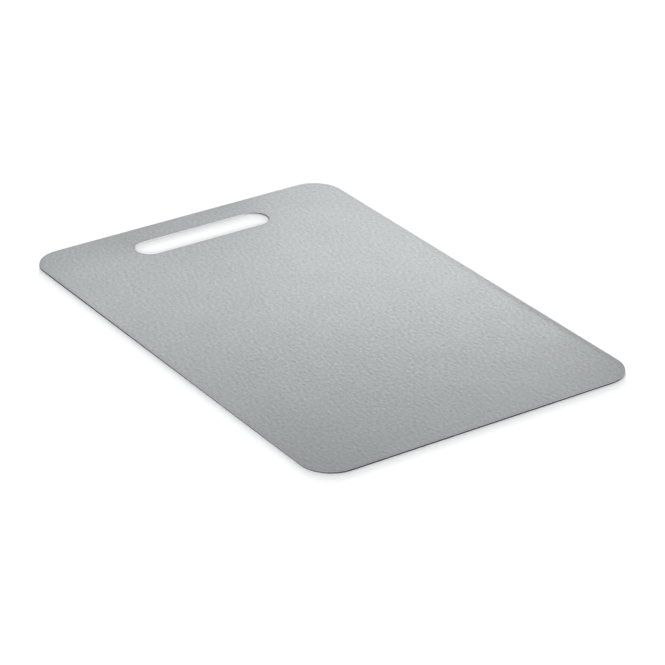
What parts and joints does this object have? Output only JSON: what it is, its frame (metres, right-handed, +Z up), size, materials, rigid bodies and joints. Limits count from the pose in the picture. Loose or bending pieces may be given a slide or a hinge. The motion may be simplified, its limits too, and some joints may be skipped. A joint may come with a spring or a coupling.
{
  "type": "cutting board",
  "caption": "Thin rectangular stainless steel cutting board with rounded corners, a fine embossed grain and a hand slot near one end.",
  "frame": {"origin": "middle of the underside", "axes": "+Y along the board's length towards the hand slot, +X across its width, +Z up through the sheet"},
  "size_m": [0.24, 0.36, 0.0012],
  "materials": {
    "steel": "satin, with a fine embossed grain"
  },
  "bodies": {
    "root": {"cutting_plate": "steel"}
  },
  "joints": []
}
